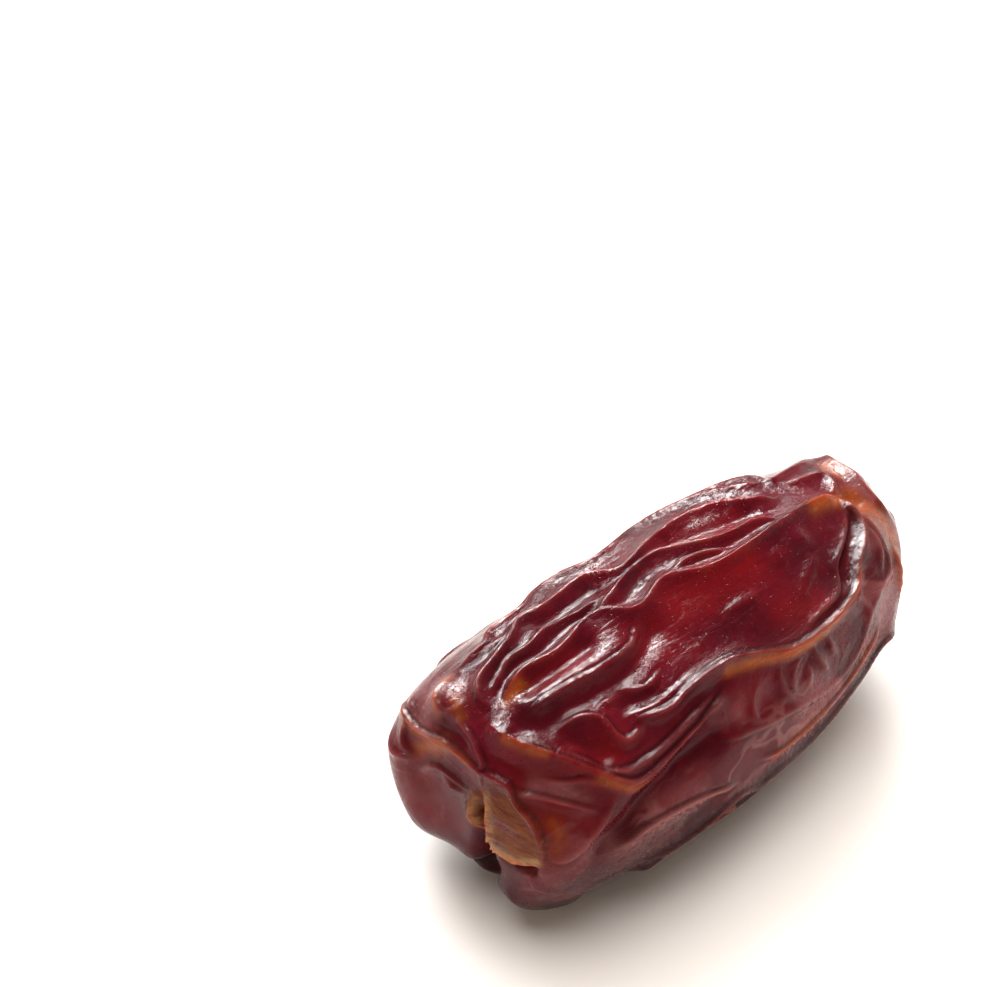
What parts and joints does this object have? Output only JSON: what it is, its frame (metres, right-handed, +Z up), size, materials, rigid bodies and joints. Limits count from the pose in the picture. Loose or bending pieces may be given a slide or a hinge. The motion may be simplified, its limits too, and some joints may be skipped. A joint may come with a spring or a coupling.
{
  "type": "date fruit",
  "caption": "Large soft date lying on its side, dark red-brown skin in long folds and ridges, torn tan scar at the stem end, resting on a small flat spot",
  "frame": {"origin": "on the floor, under the middle of the fruit's length and width", "axes": "+X along the fruit from the stem end to the tip, +Z up, the fruit lying on its side"},
  "size_m": [0.0474, 0.023, 0.0215],
  "materials": {
    "skin": "glossy"
  },
  "bodies": {
    "root": {"date_fruit": "skin"}
  },
  "joints": []
}
